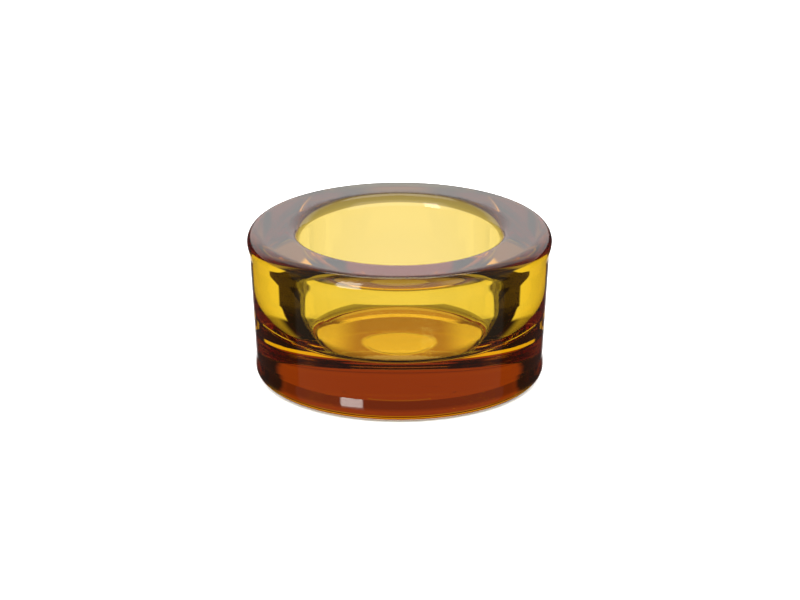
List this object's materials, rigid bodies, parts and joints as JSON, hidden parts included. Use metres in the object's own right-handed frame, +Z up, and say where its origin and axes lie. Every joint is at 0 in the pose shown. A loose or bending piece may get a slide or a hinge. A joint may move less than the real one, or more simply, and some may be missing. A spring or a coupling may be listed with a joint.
{
  "type": "tealight holder",
  "caption": "Heavy round tealight holder: a thick cup of pressed amber glass with a rounded rim and a flat-floored cavity for a candle cup.",
  "frame": {"origin": "centre of the circle that the foot stands on, at the level of the foot", "axes": "+Z up, along the axis of the cup; the cup is round, so X and Y are any two square directions"},
  "size_m": [0.075, 0.075, 0.0377],
  "materials": {
    "amber_glass": "fire-polished clear amber glass, tinted through its whole thickness"
  },
  "bodies": {
    "root": {"glass_cup": "amber_glass"}
  },
  "joints": []
}
